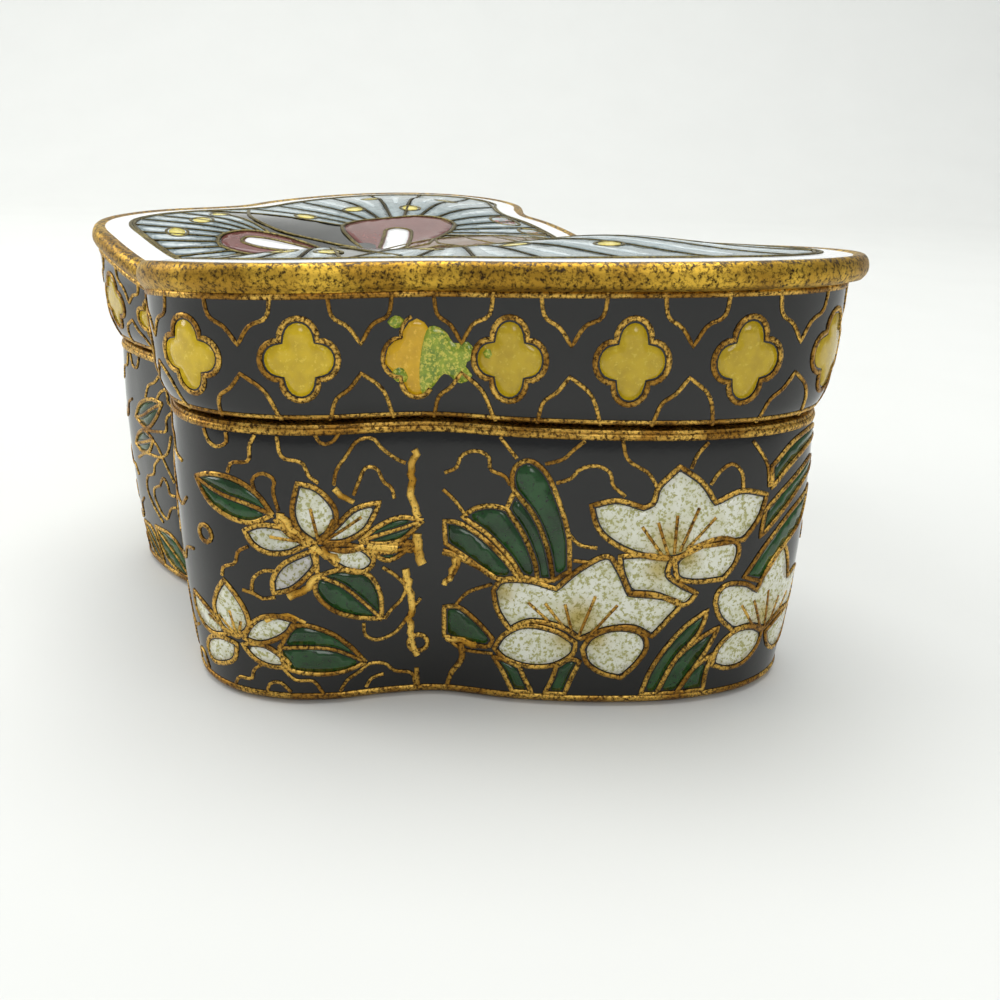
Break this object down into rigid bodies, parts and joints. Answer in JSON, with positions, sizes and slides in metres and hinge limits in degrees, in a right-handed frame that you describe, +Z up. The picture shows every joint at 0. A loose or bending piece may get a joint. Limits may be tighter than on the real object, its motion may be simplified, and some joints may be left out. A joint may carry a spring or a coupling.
{
  "type": "cloisonne enamel box",
  "caption": "Small butterfly-shaped lidded trinket box in cloisonne enamel: black ground with gilt wires, flowers and leaves, lift-off lid with enamelled wings.",
  "frame": {"origin": "middle of the underside, on the ground", "axes": "+X across the wings, +Y from the tail to the head, +Z up"},
  "size_m": [0.0708, 0.0479, 0.0328],
  "materials": {
    "base_enamel": "glossy black enamel on copper, with gilt wires and coloured cells",
    "lid_enamel": "glossy grey, white and black enamel on copper, with gilt wires and a gilt rim",
    "gilt": "worn, tarnished gilding"
  },
  "bodies": {
    "root": {"base": "base_enamel", "lid": "lid_enamel"}
  },
  "joints": []
}
